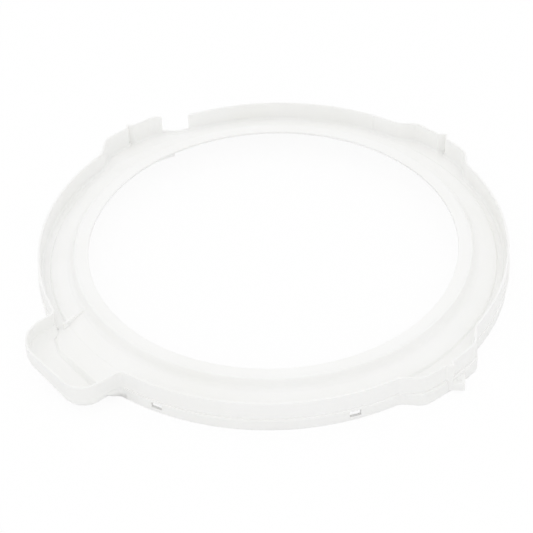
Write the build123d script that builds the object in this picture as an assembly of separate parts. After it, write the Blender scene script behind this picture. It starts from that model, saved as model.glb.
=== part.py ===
"""Tub ring of a top-loading washing machine: a white moulded ring that closes the top of the tub.

Frame: origin on the resting plane, under the centre of the round opening. +Z is up, +X is to the
right and +Y to the rear of the machine. Angles are degrees about +Z, counted from +X. All sizes
are millimetres.

The moulding is laid out as the regions that it is made of. They meet face to face: walls stand on
the gutter floor, skirts hang under it, and the sloping floor leads from it up to the lip.
"""

import os
from math import asin, cos, degrees, hypot, radians, sin, tan

from build123d import *

# Ring seen from above
opening_radius = 232.0     # edge of the round opening
ring_width = 63.0          # from that edge to the outer face of the standing wall
wall_thickness = 2.8
skirt_thickness = 3.6      # the skirt fits over the rim of the tub
bead_reach = 1.5           # how far the edge of the gutter floor stands out from the wall
edge_round = 0.8           # rounding of the wall's top edges

# Heights above the resting plane
wall_top = 42.0
lip_top = 38.0
gutter_top = 18.0          # inner side of the gutter, its highest line
skirt_top = 14.8
sill_top = 19.5            # what is left of the wall under the rear notch

# Lip and sloping floor, in section
lip_width = 15.0
lip_thickness = 3.0
lip_round = 1.2
sheet_thickness = 2.6      # sloping floor, gutter floor and tray floor
flank_run = 5.0            # level distance over which the flank drops from the lip
flank_foot = 26.5          # height at the foot of the flank
lip_shoulder = 2.5         # level stretch between the lip and the top of the flank
shoulder_round = 2.5
flank_round = 9.0
floor_edge_top = 20.8      # where the sloping floor ends and drops into the gutter
floor_edge_run = 4.0       # from that edge to the inner side of the gutter
floor_edge_round = 1.6
gutter_width = 11.0        # inner side of the gutter to the outer face of the wall
gutter_slope = 13.0        # degrees by which gutter and ear floors fall outward

# Corner ears: low bulges of the wall, with a small square pocket in each
ear_angles = {"rear_right": 46.3, "rear_left": 132.4, "front_right": 316.0}
ear_reaches = {"rear_right": 14.5, "rear_left": 19.0, "front_right": 15.5}
ear_tip_angles = {"rear_right": 8.2, "rear_left": 7.5, "front_right": 8.2}   # half of each outer face
ear_foot_angle = 12.6      # half the angle where the ear leaves the round wall
ear_end_angle = 1.0        # round wall that is counted with the ear, at each end
ear_round = 20.0
ear_base_step = 3.0        # how far the ear's skirt stands out past its wall
pocket_angles = {"rear_right": 46.3, "rear_left": 132.3, "front_right": 315.1}
pocket_reaches = {"rear_right": 22.4, "rear_left": 24.9, "front_right": 22.0}   # round wall to outer corner
pocket_side = 15.0
pocket_bottom = 3.0        # pockets and foot tab end above the resting plane

# Pour-in tray at the front left corner
tray_angle = 223.55
tray_reach = 53.4          # round wall to the tray's outer face
tray_width = 136.0
tray_end_angle = 4.0       # round wall that is counted with the tray, at each end
tray_rear_round = 43.0     # corners of the tray, seen from above
tray_front_round = 29.0
tray_bottom_round = 17.0   # between the tray's walls and its floor, outside
tray_junction_round = 9.0
tray_floor_top = 9.7       # at the tray's middle line
tray_slope = 3.8           # degrees by which the tray's floor falls to its front end
mouth_reach = 8.4          # round wall to the step between gutter floor and tray floor
mouth_bend = 32.0          # middle line of the tray to where the step turns toward the dam
mouth_turn = 24.0          # degrees of that turn

# Small features
notch_angle = 120.4        # notch in the rear wall
notch_width = 34.5
notch_round = 3.0
wall_rib_angle = 66.2      # upright rib on the inner face of the rear wall
wall_rib_width = 2.4
wall_rib_depth = 1.2
dam_top = 27.5             # rib that keeps the tray's water from running to the left
dam_length = 38.0
dam_inset = 13.0           # round wall to the dam's outer end, along the tray
dam_offset = 57.0          # middle line of the tray to the dam's outer end
dam_turn = 10.0            # degrees between the dam and the tray's middle line
window_angles = {"front": (246.4, 292.4), "rear": (66.4, 112.4)}
window_width = 14.0
window_height = 8.0
window_sill = 5.2
ramp_start_angle = 128.3   # tapering rib under the edge of the lip
ramp_sweep = 7.0
ramp_depth = 4.2
ramp_end_depth = 0.4
tab_reach = 13.9           # foot tab of the front right ear, past the corner of its pocket
tab_wall = 2.2
tab_slot_length = 6.0
tab_slot_width = 4.6

# Worked out from the sizes above
wall_radius = opening_radius + ring_width
lip_radius = opening_radius + lip_width
flank_top_radius = lip_radius + lip_shoulder
flank_foot_radius = flank_top_radius + flank_run
floor_start_radius = flank_foot_radius + flank_round / 2
gutter_radius = wall_radius - gutter_width
floor_edge_radius = gutter_radius - floor_edge_run
tray_end = wall_radius + tray_reach
tray_bottom = tray_floor_top - sheet_thickness
basin_top = tray_bottom + tray_bottom_round
far = 2 * tray_end         # past every outer face
ear_half_angle = ear_foot_angle + ear_end_angle
tray_side_angle = degrees(asin(tray_width / 2 / wall_radius))
tray_half_angle = tray_side_angle + tray_end_angle


def polar(radius, angle):
    return Vector(radius * cos(radians(angle)), radius * sin(radians(angle)))


def turned(angle, radius=0.0):
    """Frame whose +X points outward at an angle, with its origin at a radius."""
    return Rot(0, 0, angle) * Pos(radius, 0, 0)


def sector(start, end, radius=far):
    """Pie slice seen from above."""
    first, middle, last = (polar(radius, a) for a in (start, (start + end) / 2, end))
    return make_face([Line((0, 0), first), ThreePointArc(first, middle, last), Line(last, (0, 0))])


def prism(face, bottom, top):
    """Upright solid over a flat face, between two heights."""
    return Pos(0, 0, bottom) * extrude(face, top - bottom, dir=(0, 0, 1))


def between(solid, start, end):
    """The part of a solid between two angles."""
    return solid & prism(sector(start, end), -far, far)


def corners_at(face, places):
    """Corner points of a face that lie on the given places."""
    return [v for v in face.vertices() if min((Vector(v) - place).length for place in places) < 0.1]


def ear_face(name, step):
    """Low trapezoid that bulges past the round wall, before its corners are rounded."""
    angle, tip_angle = ear_angles[name], ear_tip_angles[name]
    ear_radius = wall_radius + ear_reaches[name] + step
    foot = [polar(wall_radius, angle + side * ear_foot_angle) for side in (-1, 1)]
    tip = [polar(ear_radius, angle + side * tip_angle) for side in (-1, 1)]
    crown = ThreePointArc(tip[0], polar(ear_radius, angle), tip[1])
    flanks = Polyline((0, 0), foot[0], tip[0]), Polyline(tip[1], foot[1], (0, 0))
    return make_face([flanks[0], crown, flanks[1]]), foot, tip


def pocket_corner(name):
    return polar(wall_radius + pocket_reaches[name], pocket_angles[name])


def pocket_face(name):
    """Square whose outer corner pokes through the middle of an ear."""
    corner = pocket_corner(name)
    middle_x = corner.X - pocket_side / 2 * (1 if corner.X > 0 else -1)
    middle_y = corner.Y - pocket_side / 2 * (1 if corner.Y > 0 else -1)
    return Pos(middle_x, middle_y) * Rectangle(pocket_side, pocket_side)


def tray_face():
    """Tray seen from above, from the middle of the ring outward."""
    face = turned(tray_angle, tray_end / 2) * Rectangle(tray_end, tray_width)
    outer_corners = [v for v in face.vertices() if hypot(v.X, v.Y) > wall_radius]
    rear, front = sorted(outer_corners, key=lambda v: -v.Y)
    face = fillet(rear, tray_rear_round)
    return fillet(corners_at(face, [Vector(front)]), tray_front_round)


def mouth_face(shift):
    """All that lies on the ring's side of the step into the tray, seen from above."""
    step = wall_radius + mouth_reach
    rear = step - (tray_width - mouth_bend) * tan(radians(mouth_turn))
    front_corners = (step, tray_width), (0, tray_width)
    corners = (0, -tray_width), (rear, -tray_width), (step, -mouth_bend), *front_corners
    return turned(tray_angle, -shift) * make_face(Polyline(*corners, close=True))


def tray_junctions():
    """Places where the sides of the tray meet the round wall."""
    return [polar(wall_radius, tray_angle + side * tray_side_angle) for side in (-1, 1)]


def ring_face(ear_step=0.0):
    """All that lies inside the round wall and its ears, seen from above."""
    face = Sketch() + Circle(wall_radius)
    for name in ear_angles:
        ear, foot, tip = ear_face(name, ear_step)
        face += ear
        face = fillet(corners_at(face, foot + tip), ear_round)
    return face


def with_tray(face):
    """The ring with its tray, and a rounded inside corner where each side of the tray meets it."""
    face = face + tray_face()
    return fillet(corners_at(face, tray_junctions()), tray_junction_round)


def with_pockets(face):
    for name in pocket_angles:
        face = face + pocket_face(name)
    return face


def band(face, width):
    """Strip of a given width along the inside of a face's outline."""
    return face - offset(face, -width, kind=Kind.INTERSECTION)


def make_lip():
    """Flat ring round the opening, with its top edge rounded."""
    corner = Pos(opening_radius, lip_top)
    section = corner * Rectangle(lip_width, lip_thickness, align=(Align.MIN, Align.MAX))
    top_edge = corners_at(section, [Vector(opening_radius, lip_top)])
    return revolve(Plane.XZ * fillet(top_edge, lip_round), Axis.Z)


def make_lip_ramp():
    """Rib under the edge of the lip that starts with a step and tapers off."""
    lip_bottom = lip_top - lip_thickness
    strip = Circle(opening_radius + wall_thickness) - Circle(opening_radius)
    block = prism(strip, lip_bottom - ramp_depth, lip_bottom)
    block = between(block, ramp_start_angle, ramp_start_angle + ramp_sweep)
    start = polar(opening_radius, ramp_start_angle) + Vector(0, 0, lip_bottom - ramp_depth)
    end = polar(opening_radius, ramp_start_angle + ramp_sweep) + Vector(0, 0, lip_bottom - ramp_end_depth)
    along = (end - start).normalized()
    outward = polar(1, ramp_start_angle + ramp_sweep / 2)
    return split(block, Plane(start, x_dir=outward, z_dir=outward.cross(along)), keep=Keep.TOP)


def floor_section(extra):
    """Section of the sloping floor: shoulder, flank, slope and drop into the gutter."""
    drop = floor_edge_top - gutter_top
    path = FilletPolyline(
        (lip_radius - extra, lip_top),
        (flank_top_radius, lip_top),
        (flank_foot_radius, flank_foot),
        (floor_edge_radius, floor_edge_top),
        (floor_edge_radius + drop / 2, gutter_top),
        (gutter_radius + extra, gutter_top),
        radius=(shoulder_round, flank_round, floor_edge_round, floor_edge_round / 2),
    )
    return make_face(offset(path, sheet_thickness, side=Side.RIGHT))


def make_flank_and_floor():
    """The section turned about the ring's axis: the flank under the lip, and the sloping floor."""
    sheet = revolve(Plane.XZ * floor_section(lip_thickness), Axis.Z)
    flank = sheet & prism(Circle(floor_start_radius) - Circle(lip_radius), 0, wall_top)
    floor = sheet & prism(Circle(gutter_radius) - Circle(floor_start_radius), 0, wall_top)
    return flank, floor


def gutter_cone(depth):
    """All that lies within a depth below the outward-falling top of the gutter floor."""
    edge = gutter_top - (far - gutter_radius) * tan(radians(gutter_slope))
    top = (gutter_radius, gutter_top), (far, edge)
    bottom = (far, edge - depth), (gutter_radius, gutter_top - depth)
    return revolve(Plane.XZ * make_face(Polyline(*top, *bottom, close=True)), Axis.Z)


def tray_block(inset, bottom, rounding):
    """Solid of the tray's shape over its sloping bottom, from the middle of the ring outward."""
    face = offset(tray_face(), -inset, kind=Kind.INTERSECTION) if inset else tray_face()
    slope = Plane(Pos(0, 0, bottom) * turned(tray_angle) * Rot(-tray_slope, 0, 0))
    block = split(prism(face, -tray_width, wall_top), slope, keep=Keep.TOP)
    bottom_edges = block.faces().sort_by(Axis.Z)[0].edges().sort_by_distance(Vertex(0, 0, bottom))
    return fillet(bottom_edges[1:], rounding)


def dam_frame():
    """Frame on the outer end of the flow dam, with +X along it."""
    return turned(tray_angle) * Pos(wall_radius - dam_inset, -dam_offset) * Rot(0, 0, dam_turn)


def make_apron():
    """Wedge on the gutter, from the dam to the front of the tray, that leads the floor to the step."""
    end_top = gutter_top - (tray_end - gutter_radius) * tan(radians(gutter_slope))
    upper = (floor_edge_radius, floor_edge_top), (tray_end, end_top), (gutter_radius, gutter_top)
    in_sheet = gutter_top - sheet_thickness / 2
    lower = (gutter_radius, in_sheet), (gutter_radius - sheet_thickness, in_sheet)
    wedge = revolve(Plane.XZ * make_face(Polyline(*upper, *lower, close=True)), Axis.Z)
    front_of_dam = dam_frame() * Rectangle(far, far, align=(Align.CENTER, Align.MIN))
    mouth = offset(tray_face(), -wall_thickness, kind=Kind.INTERSECTION) & front_of_dam & mouth_face(0)
    return wedge & prism(mouth, 0, wall_top)


def make_gutter_floor(ring, base):
    """Floor of gutter and ears, up to the step of the tray, with its edge under and past the wall."""
    inside = prism(offset(ring, -wall_thickness, kind=Kind.INTERSECTION), 0, gutter_top)
    tray = tray_block(0, tray_bottom, tray_bottom_round)
    floor = gutter_cone(sheet_thickness) & (inside + (tray & prism(mouth_face(0), 0, gutter_top)))
    foot = prism(band(ring, wall_thickness) - offset(tray_face(), -wall_thickness), skirt_top, gutter_top)
    past_wall = base + Circle(wall_radius + bead_reach) - ring - tray_face()
    bead = prism(past_wall, skirt_top, gutter_top)
    return floor + foot + bead


def make_tray_basin(wall, gutter_floor, sloping_floor):
    """Rounded lower part of the tray, closed by a weir under the edge of the gutter floor."""
    outer = tray_block(0, tray_bottom, tray_bottom_round)
    inner = tray_block(wall_thickness, tray_floor_top, tray_bottom_round - sheet_thickness)
    below = prism(Circle(far), 0, basin_top)
    under_gutter = gutter_cone(wall_top) & prism(mouth_face(wall_thickness), 0, gutter_top)
    weir = outer & gutter_cone(wall_top) & prism(mouth_face(0), 0, gutter_top)
    shell = (outer - inner) & below
    basin = shell + weir - under_gutter - prism(Circle(wall_radius), 0, wall_top)
    corners = Sketch() + Circle(wall_radius)
    for place in tray_junctions():
        corners += Pos(place.X, place.Y) * Circle(tray_junction_round)
    posts = between(wall, tray_angle - tray_half_angle, tray_angle + tray_half_angle)
    return basin - gutter_floor - sloping_floor + (posts & prism(corners, gutter_top, basin_top))


def make_wall(outline):
    """Standing wall round ring, ears and tray, with rounded top edges and the notch at the rear."""
    wall = prism(band(outline, wall_thickness), gutter_top, wall_top)
    wall = fillet(wall.edges().group_by(Axis.Z)[-1], edge_round)
    opening = Box(far, notch_width, wall_top, align=(Align.MIN, Align.CENTER, Align.MIN))
    opening = fillet(opening.edges().filter_by(Axis.X).group_by(Axis.Z)[0], notch_round)
    return wall - turned(notch_angle) * Pos(0, 0, sill_top) * opening


def split_wall(wall):
    """Lengths of the wall between ears, notch and tray."""
    start = {name: angle - ear_half_angle for name, angle in ear_angles.items()}
    end = {name: angle + ear_half_angle for name, angle in ear_angles.items()}
    notch_end = notch_angle - degrees(asin(notch_width / 2 / wall_radius))
    tray_first, tray_last = tray_angle - tray_half_angle, tray_angle + tray_half_angle
    tray_wall = between(wall, tray_first, tray_last) - prism(Circle(far), 0, basin_top)
    return {
        "ear_rear_right": between(wall, start["rear_right"], end["rear_right"]),
        "wall_rear": between(wall, end["rear_right"], notch_end),
        "ear_rear_left": between(wall, notch_end, end["rear_left"]),
        "wall_left": between(wall, end["rear_left"], tray_first),
        "tray_wall": tray_wall,
        "wall_front": between(wall, tray_last, start["front_right"]),
        "ear_front_right": between(wall, start["front_right"], end["front_right"]),
        "wall_right": between(wall, end["front_right"], start["rear_right"] + 360),
    }


def make_skirts(base, gutter_floor):
    """Skirt under the gutter floor, with its snap windows, split at the end of each ear."""
    skirt = prism(band(base, skirt_thickness), 0, pocket_bottom)
    skirt += prism(band(with_pockets(base), skirt_thickness), pocket_bottom, skirt_top)
    skirt -= gutter_floor
    window = Box(far, window_width, window_height, align=(Align.MIN, Align.CENTER, Align.MIN))
    for angle in (angle for pair in window_angles.values() for angle in pair):
        skirt -= turned(angle) * Pos(0, 0, window_sill) * window
    ear_end = {name: angle + ear_half_angle for name, angle in ear_angles.items()}
    tray_last = tray_angle + tray_half_angle
    return {
        "skirt_rear": between(skirt, ear_end["rear_right"], ear_end["rear_left"]),
        "skirt_left": between(skirt, ear_end["rear_left"], tray_last),
        "skirt_front": between(skirt, tray_last, ear_end["front_right"]),
        "skirt_right": between(skirt, ear_end["front_right"], ear_end["rear_right"] + 360),
    }


def make_wall_rib(wall):
    """Slim upright rib on the inner face of the rear wall."""
    reach = wall_rib_depth + wall_thickness / 2
    face = Rectangle(reach, wall_rib_width, align=(Align.MIN, Align.CENTER))
    place = turned(wall_rib_angle, wall_radius - wall_thickness - wall_rib_depth)
    return wall + prism(place * face, gutter_top, wall_top - edge_round)


def make_flow_dam(floors):
    """Low rib near the rear side of the tray, standing on gutter and sloping floor."""
    face = Rectangle(dam_length, wall_thickness, align=(Align.MAX, Align.CENTER))
    block = prism(dam_frame() * face, 0, dam_top)
    for floor in floors:
        block -= floor
    return block.solids().sort_by(Axis.Z)[-1]


def make_tab(base):
    """Open-bottomed box at the foot of the front right ear, with a slot through its top."""
    corner = pocket_corner("front_right")
    size = pocket_side + tab_reach
    face = Rectangle(size, size, align=(Align.MAX, Align.MIN))
    outer = Pos(corner.X + tab_reach, corner.Y) * face - base
    inner = Pos(corner.X + tab_reach - tab_wall, corner.Y + tab_wall) * face - base
    tab = prism(outer, pocket_bottom, skirt_top) - prism(inner, 0, skirt_top - tab_wall)
    slot = Pos(corner.X + tab_reach / 2, corner.Y + tab_wall + tab_slot_width / 2)
    return tab - prism(slot * Rectangle(tab_slot_length, tab_slot_width), 0, wall_top)


ring = with_pockets(ring_face())
base = ring_face(ear_base_step)
outline = with_pockets(with_tray(ring_face()))
wall = make_wall(outline)
gutter_floor = make_gutter_floor(ring, base)
lip_flank, sloping_floor = make_flank_and_floor()
sloping_floor += make_apron()

nodes = {
    "inner_lip": make_lip(),
    "lip_ramp": make_lip_ramp(),
    "lip_flank": lip_flank,
    "sloping_floor": sloping_floor,
    "gutter_floor": gutter_floor,
    "tray_basin": make_tray_basin(wall, gutter_floor, sloping_floor),
    "front_right_tab": make_tab(with_pockets(base)),
}
nodes.update(split_wall(wall))
nodes.update(make_skirts(base, gutter_floor))
nodes["wall_rear"] = make_wall_rib(nodes["wall_rear"])
standing_on = [lip_flank, sloping_floor, gutter_floor]
nodes["flow_dam"] = make_flow_dam(standing_on)

os.makedirs("parts", exist_ok=True)
for name, solid in nodes.items():
    export_step(solid, f"parts/{name}.step")
    print(f"{name}: {len(solid.solids())} solid, {solid.volume / 1000:.1f} cm3")
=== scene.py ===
# %% [markdown]
# # Tub ring of a top-loading washing machine
#
# The object is one large white moulding: a flat lip round an opening, a floor that slopes away
# from it, a standing wall with corner ears, a skirt below and a pour-in tray at one corner. Its
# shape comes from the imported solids. This lesson gives those solids the skin of moulded
# polypropylene, adds a few small rounds and webs and the marks that a mould leaves underneath, and
# lights the ring as a catalogue picture on white is lit.

# %% Load the solids
import math

import bpy
import numpy as np
from mathutils import Matrix, Vector


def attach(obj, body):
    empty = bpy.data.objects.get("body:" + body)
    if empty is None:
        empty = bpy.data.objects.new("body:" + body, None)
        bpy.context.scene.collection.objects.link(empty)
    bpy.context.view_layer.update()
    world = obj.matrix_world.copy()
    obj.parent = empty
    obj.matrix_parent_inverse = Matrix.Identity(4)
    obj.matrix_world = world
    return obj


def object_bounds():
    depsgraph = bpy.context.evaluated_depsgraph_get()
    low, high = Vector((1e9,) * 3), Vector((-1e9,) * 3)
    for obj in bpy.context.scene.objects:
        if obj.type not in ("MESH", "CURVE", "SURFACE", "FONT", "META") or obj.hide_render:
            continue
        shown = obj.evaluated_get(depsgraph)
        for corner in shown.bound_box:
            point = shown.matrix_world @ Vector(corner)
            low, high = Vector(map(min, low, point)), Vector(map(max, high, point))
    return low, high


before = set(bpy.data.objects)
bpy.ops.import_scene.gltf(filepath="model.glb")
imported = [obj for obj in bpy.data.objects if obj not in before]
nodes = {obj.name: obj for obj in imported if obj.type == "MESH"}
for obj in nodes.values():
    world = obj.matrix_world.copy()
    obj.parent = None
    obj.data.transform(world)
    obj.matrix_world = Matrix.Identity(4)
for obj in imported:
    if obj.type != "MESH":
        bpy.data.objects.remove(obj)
cad_low, cad_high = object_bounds()
print("solids:", len(nodes), "box in mm:", [round(1000 * x, 1) for x in cad_high - cad_low])

# %% [markdown]
# ## Colours and nodes
#
# Colours are written as screen values, because that is how one reads them off a sample card.
# Blender works with linear light, so one function turns the written value into a linear one. A
# second small function adds a shader node, sets its values and makes its links, so that each
# material below reads as a short list.


# %% Helpers for colours and nodes
def linear(hex_colour):
    """Screen colour to linear light.

    Dark values become c / 12.92, all others ((c + 0.055) / 1.055) ** 2.4.
    """
    screen = np.array([int(hex_colour[i : i + 2], 16) for i in (1, 3, 5)]) / 255
    light = np.where(screen <= 0.04045, screen / 12.92, ((screen + 0.055) / 1.055) ** 2.4)
    return (*light, 1.0)


def add(tree, kind, values=None, links=None, **settings):
    """A node of a kind, with its settings, its input values, and links to its inputs."""
    node = tree.nodes.new(kind)
    for name, value in settings.items():
        setattr(node, name, value)
    for name, value in (values or {}).items():
        node.inputs[name].default_value = value
    for name, output in (links or {}).items():
        tree.links.new(output, node.inputs[name])
    return node


print("white of the moulding, linear:", [round(x, 3) for x in linear("#fdfdfc")[:3]])

# %% [markdown]
# ## White polypropylene
#
# Large appliance mouldings are polypropylene coloured white with titanium dioxide. The melt runs
# out from the gates and leaves faint cloudy flow marks, about a hand's breadth across, which show
# in colour and in gloss. The steel of the mould is blasted, and the plastic copies its grain. Such
# a grain is a few tenths of a millimetre wide, too fine to show here, so the large faces draw it
# at about a millimetre. Light enters the plastic a little way, which softens its edges.
#
# One recipe makes every finish, because it is one plastic. The faces that are looked at are satin.
# The walls and the skirt are grained more coarsely, as is usual on faces that slide out of a
# mould.

# %% Recipe for the plastic
flow_width = 0.120
light_depth = 0.001
gloss_drift = 0.06


def polypropylene(name, colour, shade, roughness, grain_width, grain_height):
    """Moulded plastic: cloudy flow marks in colour and gloss, and a fine grain as a bump."""
    material = bpy.data.materials.new(name)
    material.use_nodes = True
    tree = material.node_tree
    tree.nodes.clear()
    place = add(tree, "ShaderNodeTexCoord").outputs["Object"]
    # Flow marks: the eye sees a slow drift between two whites, never a line.
    flow = add(
        tree, "ShaderNodeTexNoise", {"Scale": 1 / flow_width, "Detail": 3.0}, {"Vector": place},
    )
    cloud = add(tree, "ShaderNodeValToRGB", links={"Fac": flow.outputs["Fac"]})
    dull, clear = cloud.color_ramp.elements
    dull.position, dull.color = 0.35, linear(shade)
    clear.position, clear.color = 0.65, linear(colour)
    # Gloss: where the melt cooled first the copy of the steel is duller.
    gloss = add(
        tree, "ShaderNodeMapRange",
        {"To Min": roughness + gloss_drift, "To Max": roughness - gloss_drift},
        {"Value": flow.outputs["Fac"]},
    )
    # Grain: close up it breaks the light into the small sparkle of blasted steel.
    grain = add(
        tree, "ShaderNodeTexNoise", {"Scale": 1 / grain_width, "Detail": 2.0}, {"Vector": place},
    )
    bump = add(
        tree, "ShaderNodeBump", {"Strength": 0.25, "Distance": grain_height},
        {"Height": grain.outputs["Fac"]},
    )
    skin = add(
        tree, "ShaderNodeBsdfPrincipled",
        {
            "IOR": 1.49, "Subsurface Weight": 0.1,
            "Subsurface Radius": (1.0, 1.0, 0.95), "Subsurface Scale": light_depth,
        },
        {
            "Base Color": cloud.outputs["Color"], "Roughness": gloss.outputs["Result"],
            "Normal": bump.outputs["Normal"],
        },
    )
    add(tree, "ShaderNodeOutputMaterial", links={"Surface": skin.outputs["BSDF"]})
    return material


satin = polypropylene(
    "polypropylene_satin_white", "#fdfdfc", "#fbfbf9",
    roughness=0.42, grain_width=0.0008, grain_height=0.00002,
)
grained = polypropylene(
    "polypropylene_grained_white", "#fcfcfb", "#fafaf8",
    roughness=0.52, grain_width=0.0012, grain_height=0.00005,
)
shown = (
    "inner_lip", "lip_ramp", "lip_flank", "sloping_floor", "gutter_floor",
    "tray_basin", "flow_dam",
)
for name, node in nodes.items():
    node.data.materials.clear()
    node.data.materials.append(satin if name in shown else grained)
print("satin on", len(shown), "solids, grained on", len(nodes) - len(shown))

# %% [markdown]
# ## Adding a piece
#
# Every form below is worked out as one array of points and one of faces. The first function turns
# them into an object that moves with the ring and takes the finish that it is given.
# Several forms keep one closed section all along a path, so a second function makes their faces.


# %% Points and faces to a piece
def plastic_piece(name, points, faces, finish):
    """Object from an array of points and a list of faces, in the ring's own frame."""
    mesh = bpy.data.meshes.new(name)
    mesh.from_pydata(points.reshape(-1, 3).tolist(), [], faces)
    mesh.shade_smooth()
    mesh.materials.append(finish)
    piece = bpy.data.objects.new(name, mesh)
    bpy.context.scene.collection.objects.link(piece)
    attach(piece, "root")
    print(name + ":", len(mesh.vertices), "points,", len(faces), "faces")


def swept_strip(name, points, finish):
    """Piece from a closed section that is repeated along a path.

    points[place, corner] = (x, y, z). Each side joins a corner and the next one at one place to
    the same two at the next place. The section itself closes both ends.
    """
    places, count = points.shape[:2]
    here = np.arange(count)
    beside = (here + 1) % count
    along = count * np.arange(places - 1)[:, None]
    onward = along + count
    sides = np.stack((along + here, onward + here, onward + beside, along + beside), axis=-1)
    ends = [here.tolist(), (count * (places - 1) + here[::-1]).tolist()]
    plastic_piece(name, points, sides.reshape(-1, 4).tolist() + ends, finish)


# The rays below need the solids' places to be up to date.
bpy.context.view_layer.update()

# %% [markdown]
# ## Rounded foot of the wall
#
# Inside corners of a moulding are rounded, because the melt flows round them better and the part
# doesn't crack there. The corner between the gutter and the standing wall is softened all the way
# from one side of the tray to the other. In the ears, where the floor lies deepest, the strip also
# closes a slot that the solids leave between floor and skirt.
#
# The strip is swept: a ray from the middle finds the wall at each angle, two probes find the slope
# of the gutter, and the same rounded section is placed at every angle. The path starts at an angle
# that keeps every ray clear of the seams between two solids, where a ray could slip through.

# %% Path along the foot of the wall
walls = [node for name, node in nodes.items() if name.startswith(("wall_", "ear_"))]
path_start, path_end, path_step = 241.07, 565.9, 0.25
above_foot = 0.0186
probes = np.array((0.286, 0.291))
probe_angle = math.radians(0.5)


def wall_distance(angle, height, start):
    """Distance from the middle to the inner face of the wall, along a level ray."""
    way = Vector((math.cos(angle), math.sin(angle), 0))
    hits = [wall.ray_cast(way * start + Vector((0, 0, height)), way) for wall in walls]
    return min(hit[1].xy.length for hit in hits if hit[0])


def floor_height(radius, angle):
    """Height of the gutter floor at a radius, along a ray from above."""
    above = Vector((radius * math.cos(angle), radius * math.sin(angle), cad_high[2]))
    return nodes["gutter_floor"].ray_cast(above, Vector((0, 0, -1)))[1].z


path_angles = np.radians(np.arange(path_start, path_end, path_step))
wall_radii = np.array([wall_distance(angle, above_foot, probes[0]) for angle in path_angles])
probe_heights = np.array([floor_height(radius, probe_angle) for radius in probes])
floor_fall = (probe_heights[1] - probe_heights[0]) / (probes[1] - probes[0])
print("wall radius in mm, least and most:", np.round(1000 * np.sort(wall_radii)[[0, -1]], 1))


# %% Sweep the rounded corner
def swept_corner(rounding, sunk, behind, steps=8):
    """Rounded inside corner, swept along the foot of the wall.

    Point(angle, step) = (wall radius - inset) outward + (floor height there + lift) up. Along the
    round, inset = rounding * (1 - cos(turn)) and lift = rounding * (1 - sin(turn)). The section is
    closed by two corners below the floor and one inside the wall.
    """
    turn = np.linspace(0, np.pi / 2, steps)
    inset = np.append(rounding * (1 - np.cos(turn)), (rounding, -behind, -behind))
    lift = np.append(rounding * (1 - np.sin(turn)), (-sunk, -sunk, rounding))
    radius = wall_radii[:, None] - inset
    height = probe_heights[0] + floor_fall * (radius - probes[0]) + lift
    angle = path_angles[:, None]
    return np.stack((radius * np.cos(angle), radius * np.sin(angle), height), axis=-1)


foot_points = swept_corner(rounding=0.0035, sunk=0.0008, behind=0.0025)
swept_strip("wall_foot_round", foot_points, satin)

# %% [markdown]
# ## Gusset under the tray
#
# The tray hangs out over the front of the ring. In the photograph a small web runs down from its
# front side to the skirt and fills the corner there. It stiffens the tray where a full dose of
# liquid would bend it most.
#
# The web follows the rounded inside corner between skirt and tray, then the side of the tray. Its
# lower edge climbs along the way, from the foot of the skirt to the round of the tray's bottom. It
# is worked out with the tray pointing along x, and then turned to the tray's own angle.

# %% Sweep the gusset
tray_angle = math.radians(223.55)
tray_turn = np.array(Matrix.Rotation(tray_angle, 3, "Z"))


def swept_web(
    corner_round, half_width, ring_radius, length, thickness, low, top, sunk, bow, steps=12
):
    """Thin web along a corner and the straight side after it.

    Point(step, corner) = path + inward * (0 or thickness), at the lower edge or at top + sunk. The
    path is an arc about a centre that touches ring and tray, then a straight line. The lower edge
    is low + (top - low) * (distance / whole distance) ** bow.
    """
    centre_y = half_width + corner_round
    centre_x = math.sqrt((ring_radius + corner_round) ** 2 - centre_y**2)
    turn = np.linspace(-math.pi + math.atan2(centre_y, centre_x), -math.pi / 2, steps)
    spoke = np.stack((np.cos(turn), np.sin(turn)), axis=-1)
    run = np.linspace(0, length, steps)[1:]
    side = np.stack((centre_x + run, np.full(len(run), half_width)), axis=-1)
    outer = np.concatenate((np.array((centre_x, centre_y)) + corner_round * spoke, side))
    inward = np.concatenate((spoke, np.tile((0.0, -1.0), (len(run), 1))))
    inner = outer + thickness * inward
    distance = np.append(0, np.cumsum(np.linalg.norm(np.diff(outer, axis=0), axis=1)))
    edge = low + (top - low) * (distance / distance[-1]) ** bow
    upper = np.full(len(outer), top + sunk)
    plan = np.stack((outer, outer, inner, inner), axis=1)
    heights = np.stack((upper, edge, edge, upper), axis=1)
    return np.concatenate((plan, heights[:, :, None]), axis=2)


gusset_points = swept_web(
    corner_round=0.009, half_width=0.06795, ring_radius=0.295, length=0.018, thickness=0.0024,
    low=0.0005, top=0.0188, sunk=0.001, bow=1.35,
)
swept_strip("tray_gusset", gusset_points @ tray_turn.T, grained)

# %% [markdown]
# ## Soft weir of the tray
#
# The apron ends above the floor of the tray, and liquid that is poured in rises over that step. In
# the photograph the step is soft, as a mould that draws straight up needs it. A strip with a wave
# for its section runs along the step and fills the corner below the apron's edge.
#
# The edge is straight across most of the tray and then turns toward the dam. Rays from above find
# the apron on one side of the edge and the floor of the tray on the other.

# %% Sweep the weir
weir_start, weir_end, weir_places = -0.055, 0.0622, 80
weir_reach, weir_bend, weir_turn = 0.3034, -0.032, math.radians(24.0)
beside_edge = 0.0003


def heights_of(node, reach, across):
    """Heights of a solid's top face at places given along and across the tray."""
    starts = np.stack((reach, across, np.full(len(reach), cad_high[2])), axis=-1) @ tray_turn.T
    return np.array([node.ray_cast(Vector(start), Vector((0, 0, -1)))[1].z for start in starts])


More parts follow.
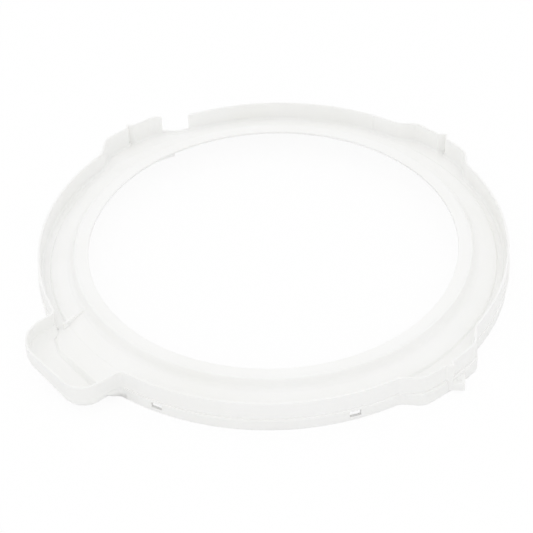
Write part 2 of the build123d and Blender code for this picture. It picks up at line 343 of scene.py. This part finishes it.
def swept_weir(run, behind, sunk, steps=10):
    """Soft step between the apron and the floor of the tray.

    Point(place, step) = (edge + reach) along the tray + place across it + height up. Over the run,
    height = low + (high - low) * (1 + cos(pi * reach / run)) / 2. The section is closed inside the
    apron and below the floor of the tray.
    """
    across = np.linspace(weir_start, weir_end, weir_places)
    edge = weir_reach + np.tan(weir_turn) * np.minimum(across - weir_bend, 0)
    high = heights_of(nodes["sloping_floor"], edge - beside_edge, across)
    low = heights_of(nodes["tray_basin"], edge + run, across)
    share = np.linspace(1, 0, steps)
    wave = low[:, None] + (high - low)[:, None] * (1 + np.cos(np.pi * share)) / 2
    reach = edge[:, None] + np.append(run * share, (-behind, -behind, run))
    height = np.column_stack((wave, high, low - sunk, low - sunk))
    return np.stack((reach, np.broadcast_to(across[:, None], reach.shape), height), axis=-1)


weir_points = swept_weir(run=0.005, behind=0.0012, sunk=0.0006)
swept_strip("tray_weir", weir_points @ tray_turn.T, satin)

# %% [markdown]
# ## Marks of the mould
#
# A ring of this size shrinks onto the core of its mould as it cools. Pins of round steel push it
# off, and each leaves a shallow round mark on the hidden side, here under the sloping floor. The
# melt enters through a few small gates under the lip. When they are broken off, short stubs stay.
#
# Both kinds are small turned bodies, so one function makes them. Each body stands on the surface
# that a ray from below finds, square to it and sunk a little into it, as a mark that is one piece
# with the plastic must be.


# %% Small turned bodies
def turned_bodies(name, profile, feet, outward, finish, turns=24):
    """Equal turned bodies, one on each foot.

    Point(step, turn) = foot + radius(step) * (cos(turn) * across + sin(turn) * along) +
    height(step) * outward. The first and last step of the profile are poles of one point each.
    """
    across = np.cross(outward, feet * (1, 1, 0))
    across /= np.linalg.norm(across, axis=1)[:, None]
    along = np.cross(outward, across)
    angle = (2 * np.pi * np.arange(turns) / turns)[:, None]
    spoke = np.cos(angle) * across[:, None] + np.sin(angle) * along[:, None]
    radius, height = profile[1:-1].T
    rings = (
        feet[:, None, None] + radius[:, None, None] * spoke[:, None]
        + height[:, None, None] * outward[:, None, None]
    )
    poles = feet[:, None] + profile[[0, -1], 1][:, None] * outward[:, None]
    points = np.concatenate((rings.reshape(len(feet), -1, 3), poles), axis=1)

    here = np.arange(turns)
    beside = (here + 1) % turns
    below = turns * np.arange(len(radius) - 1)[:, None]
    above = below + turns
    sides = np.stack((below + here, below + beside, above + beside, above + here), axis=-1)
    first_pole = turns * len(radius)
    top = first_pole - turns
    under = np.stack((np.full(turns, first_pole), beside, here), axis=-1)
    over = np.stack((np.full(turns, first_pole + 1), top + here, top + beside), axis=-1)
    start = (points.shape[1] * np.arange(len(feet)))[:, None, None]
    quads = (start + sides.reshape(-1, 4)).reshape(-1, 4)
    caps = (start + np.concatenate((under, over))).reshape(-1, 3)

    plastic_piece(name, points, quads.tolist() + caps.tolist(), finish)


def feet_under(node, radius, count, first_degrees):
    """Places on a solid's underside, equally spaced on a circle, and the way it faces there."""
    angles = np.radians(first_degrees) + 2 * np.pi * np.arange(count) / count
    starts = np.stack((radius * np.cos(angles), radius * np.sin(angles), np.zeros(count)), axis=-1)
    hits = [node.ray_cast(Vector(start), Vector((0, 0, 1))) for start in starts]
    return np.array([hit[1] for hit in hits]), np.array([hit[2] for hit in hits])


# %% [markdown]
# ## Ejector marks and gate stubs
#
# An ejector pin is 8 mm thick and stands a little back in the core, so its mark is a flat button
# that stands 0.2 mm proud with a soft rim. A gate is 5 mm wide, and breaks a millimetre from the
# plastic. The pins are polished and leave a glossier face. The broken gates are dull. The profiles
# are pairs of radius and height in millimetres.

# %% Ejector marks
pin_profile = np.array(
    [(0, -0.40), (3.6, -0.40), (4.0, -0.20), (4.0, 0.10), (3.9, 0.17), (3.7, 0.20), (0, 0.18)]
) / 1000
pin_face = polypropylene(
    "polypropylene_pin_face_white", "#fdfdfc", "#fbfbf9",
    roughness=0.30, grain_width=0.0004, grain_height=0.00001,
)
pin_feet, pin_ways = feet_under(nodes["sloping_floor"], radius=0.268, count=24, first_degrees=7.5)
turned_bodies("ejector_marks", pin_profile, pin_feet, pin_ways, pin_face)

# %% Gate stubs
gate_profile = np.array([
    (0, -0.50), (2.4, -0.50), (2.7, -0.20), (2.5, 0.30),
    (2.3, 0.75), (1.6, 0.95), (0.8, 0.88), (0, 1.0),
]) / 1000
broken_face = polypropylene(
    "polypropylene_broken_gate_white", "#fcfcfb", "#f8f8f6",
    roughness=0.65, grain_width=0.0005, grain_height=0.0001,
)
gate_feet, gate_ways = feet_under(nodes["inner_lip"], radius=0.240, count=6, first_degrees=30.0)
turned_bodies("gate_stubs", gate_profile, gate_feet, gate_ways, broken_face)

# %% [markdown]
# ## Web in the foot tab
#
# The slot in the tab at the front right is shallow in the photograph: plastic shows a little below
# its rim. A thin dished web inside the tab's top plate closes it, as a blind slot is moulded.

# %% Tab web
tab_profile = np.array([
    (0, -1.0), (3.7, -1.0), (3.9, -0.8), (3.9, -0.1), (3.7, 0.0), (1.8, -0.15), (0, -0.2),
]) / 1000
tab_slot = np.array([(0.23149, -0.21926, 0.0140)])
straight_up = np.array([(0.0, 0.0, 1.0)])
turned_bodies("tab_web", tab_profile, tab_slot, straight_up, grained)

# %% [markdown]
# ## Smooth shading
#
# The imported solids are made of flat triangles, each with its own corners. A modifier joins the
# corners that lie at the same place and shades across every edge that bends by less than 30
# degrees, so that round walls look round and real edges stay crisp. The mesh itself is untouched.

# %% Smooth-by-angle modifier
same_place = 1e-5


def smooth_by_angle(limit_degrees):
    """Geometry nodes that merge equal points and shade smooth across edges below the limit."""
    tree = bpy.data.node_groups.new("smooth_by_angle", "GeometryNodeTree")
    tree.interface.new_socket("Geometry", in_out="INPUT", socket_type="NodeSocketGeometry")
    tree.interface.new_socket("Geometry", in_out="OUTPUT", socket_type="NodeSocketGeometry")
    start = add(tree, "NodeGroupInput")
    merged = add(
        tree, "GeometryNodeMergeByDistance", {"Distance": same_place},
        {"Geometry": start.outputs[0]},
    )
    angle = add(tree, "GeometryNodeInputMeshEdgeAngle")
    bends = add(
        tree, "FunctionNodeCompare", {"B": math.radians(limit_degrees)},
        {"A": angle.outputs["Unsigned Angle"]}, operation="LESS_THAN",
    )
    edges = add(
        tree, "GeometryNodeSetShadeSmooth", None,
        {"Geometry": merged.outputs["Geometry"], "Shade Smooth": bends.outputs["Result"]},
        domain="EDGE",
    )
    faces = add(
        tree, "GeometryNodeSetShadeSmooth", {"Shade Smooth": True},
        {"Geometry": edges.outputs["Geometry"]}, domain="FACE",
    )
    add(tree, "NodeGroupOutput", links={"Geometry": faces.outputs["Geometry"]})
    return tree


smooth = smooth_by_angle(30)
for node in nodes.values():
    node.modifiers.new("smooth", "NODES").node_group = smooth
print("smooth shading on", len(nodes), "solids")

# %% [markdown]
# ## Floor and light
#
# The picture is a catalogue shot on white, with almost no shadow. A dome of soft light does all
# the work. It is a little brighter overhead and to the left, so that up-facing faces are lighter
# than walls. Rays from the camera, and those that mirror or pass through, see the dome as plain
# white. They see the floor as white paper that keeps a trace of the ring's shadow. Every other
# ray sees the floor as matt paper, which throws light back up at the walls.


# %% Which rays see plain white
def seen_white(tree):
    """Value that is 1 for camera, glossy and transmission rays, and 0 for all others."""
    path = add(tree, "ShaderNodeLightPath").outputs
    either = add(
        tree, "ShaderNodeMath", None,
        {0: path["Is Camera Ray"], 1: path["Is Glossy Ray"]}, operation="MAXIMUM",
    )
    return add(
        tree, "ShaderNodeMath", None,
        {0: either.outputs["Value"], 1: path["Is Transmission Ray"]}, operation="MAXIMUM",
    ).outputs["Value"]


# %% Floor
floor_half_width = 20.0
shadow_share = 0.07
below_ring = 0.0002
floor_mesh = bpy.data.meshes.new("floor")
corners = floor_half_width * np.array([(-1, -1, 0), (1, -1, 0), (1, 1, 0), (-1, 1, 0)])
floor_mesh.from_pydata((corners - (0, 0, below_ring)).tolist(), [], [(0, 1, 2, 3)])
floor = bpy.data.objects.new("floor", floor_mesh)
bpy.context.scene.collection.objects.link(floor)
paper = bpy.data.materials.new("white_paper")
paper.use_nodes = True
tree = paper.node_tree
tree.nodes.clear()
matt = add(tree, "ShaderNodeBsdfDiffuse", {"Color": linear("#f7f7f7")}).outputs["BSDF"]
bright = add(tree, "ShaderNodeBsdfDiffuse", {"Color": linear("#ffffff")}).outputs["BSDF"]
glow = add(tree, "ShaderNodeEmission", {"Strength": 1.0}).outputs["Emission"]
traced = add(tree, "ShaderNodeMixShader", {"Fac": shadow_share}, {1: glow, 2: bright})
sheet = add(
    tree, "ShaderNodeMixShader", None,
    {"Fac": seen_white(tree), 1: matt, 2: traced.outputs["Shader"]},
)
add(tree, "ShaderNodeOutputMaterial", links={"Surface": sheet.outputs["Shader"]})
floor_mesh.materials.append(paper)
print("floor:", 2 * floor_half_width, "m across")

# %% Light dome
level = 1.11
rise = (-0.03, -0.01, 0.17)
world = bpy.data.worlds.new("studio")
bpy.context.scene.world = world
world.use_nodes = True
tree = world.node_tree
tree.nodes.clear()
toward = add(tree, "ShaderNodeTexCoord").outputs["Generated"]
slant = add(tree, "ShaderNodeVectorMath", {1: rise}, {0: toward}, operation="DOT_PRODUCT")
strength = add(tree, "ShaderNodeMath", {1: level}, {0: slant.outputs["Value"]}, operation="ADD")
dome = add(tree, "ShaderNodeBackground", links={"Strength": strength.outputs["Value"]})
white = add(tree, "ShaderNodeBackground", {"Strength": 1.0})
both = add(
    tree, "ShaderNodeMixShader", None,
    {"Fac": seen_white(tree), 1: dome.outputs["Background"], 2: white.outputs["Background"]},
)
add(tree, "ShaderNodeOutputWorld", links={"Surface": both.outputs["Shader"]})
bpy.context.scene.view_settings.view_transform = "Standard"
print("dome: level", level, "and rise", rise)

# %% [markdown]
# ## Camera
#
# The photograph was taken from the front, a little to the right, looking down at about 40 degrees
# through a long lens. The angles, the distance and the lens were found by laying the outline of
# the solids over the outline in the photograph. The ring's image lies a little off the middle, so
# the lens is shifted by that much.

# %% Camera
azimuth, elevation, roll = (math.radians(x) for x in (5.0, 40.259, -1.893))
distance = 2.3456
picture_width = 533
focal_pixels = 1848.08
camera_data = bpy.data.cameras.new("camera")
camera_data.sensor_width = 36.0
camera_data.lens = camera_data.sensor_width * focal_pixels / picture_width
camera_data.shift_x, camera_data.shift_y = -0.01364, -0.0045
camera = bpy.data.objects.new("camera", camera_data)
bpy.context.scene.collection.objects.link(camera)
level_part = math.cos(elevation)
back = Vector((
    math.sin(azimuth) * level_part, -math.cos(azimuth) * level_part, math.sin(elevation),
))
turn = (-back).to_track_quat("-Z", "Y").to_matrix().to_4x4() @ Matrix.Rotation(roll, 4, "Z")
camera.matrix_world = Matrix.Translation(back * distance) @ turn
bpy.context.scene.camera = camera
print("camera:", round(distance, 3), "m away, lens", round(camera_data.lens, 1), "mm")
